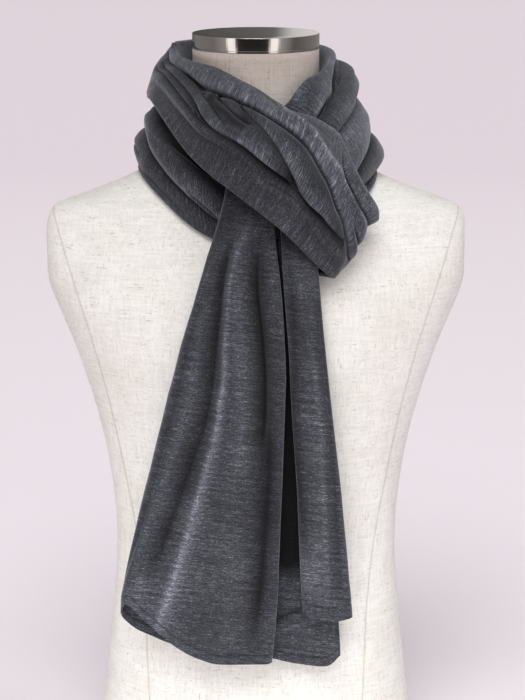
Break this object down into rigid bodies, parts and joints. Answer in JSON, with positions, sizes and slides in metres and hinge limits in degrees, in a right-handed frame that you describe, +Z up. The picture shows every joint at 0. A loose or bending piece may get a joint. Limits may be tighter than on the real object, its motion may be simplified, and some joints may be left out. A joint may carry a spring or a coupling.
{
  "type": "wool scarf on a limbless dress form",
  "caption": "Pleated wool scarf looped round a limbless linen dress form with a steel neck cap; both tails hang down the chest.",
  "frame": {"origin": "middle of the form's flat underside, where it stands", "axes": "+Z up through the neck, -Y towards the front, +X to the right of the picture"},
  "size_m": [0.411, 0.2553, 0.728],
  "materials": {
    "grey_wool": "heathered blue-grey fine knitted wool, matt with a soft nap",
    "natural_linen": "off-white linen with darker slub flecks, matt",
    "polished_steel": "polished stainless steel"
  },
  "bodies": {
    "root": {"front_band": "grey_wool", "under_wrap": "grey_wool", "upper_back": "grey_wool", "upper_right": "grey_wool", "lower_back": "grey_wool", "lower_right": "grey_wool", "tail_long": "grey_wool", "tail_short": "grey_wool", "dress_form": "natural_linen", "neck_cap": "polished_steel"}
  },
  "joints": []
}
